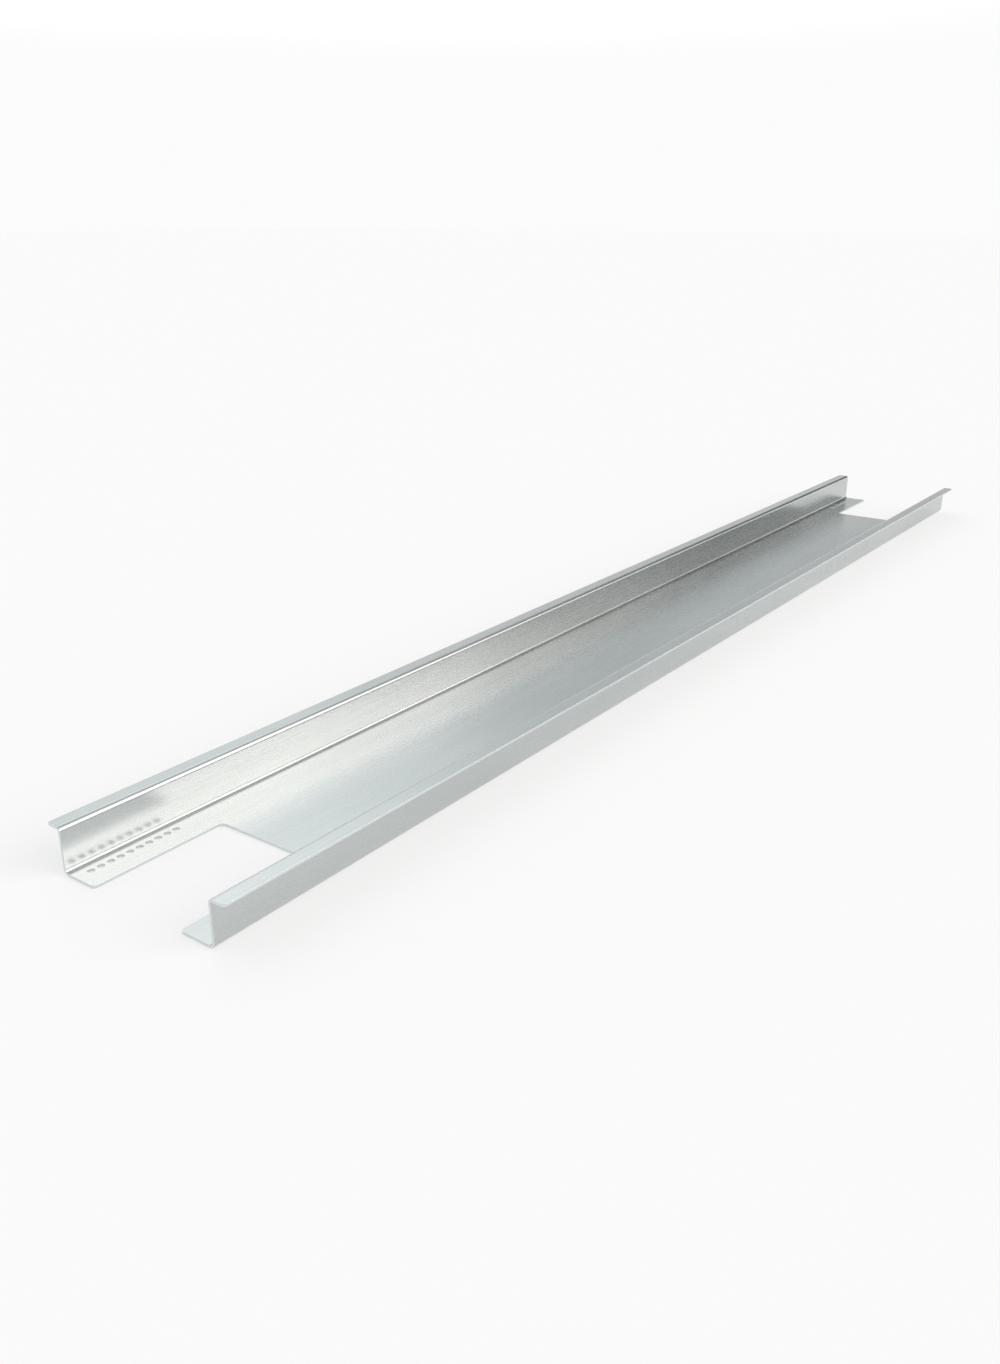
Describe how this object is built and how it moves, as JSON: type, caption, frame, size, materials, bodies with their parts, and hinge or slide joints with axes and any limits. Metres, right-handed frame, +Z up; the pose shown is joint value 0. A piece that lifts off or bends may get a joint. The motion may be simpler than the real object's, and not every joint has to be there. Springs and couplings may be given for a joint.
{
  "type": "solar mounting rail",
  "caption": "Wide shallow channel folded from one metal sheet, with outward lips and notched, perforated ends, laid open side up to carry solar panel supports.",
  "frame": {"origin": "middle of the underside of the base", "axes": "+X along the length, +Y across the width, +Z up out of the open side"},
  "size_m": [1.42, 0.174, 0.036],
  "materials": {
    "mill_aluminium": "bare mill finish, satin"
  },
  "bodies": {
    "root": {"rail": "mill_aluminium"}
  },
  "joints": []
}
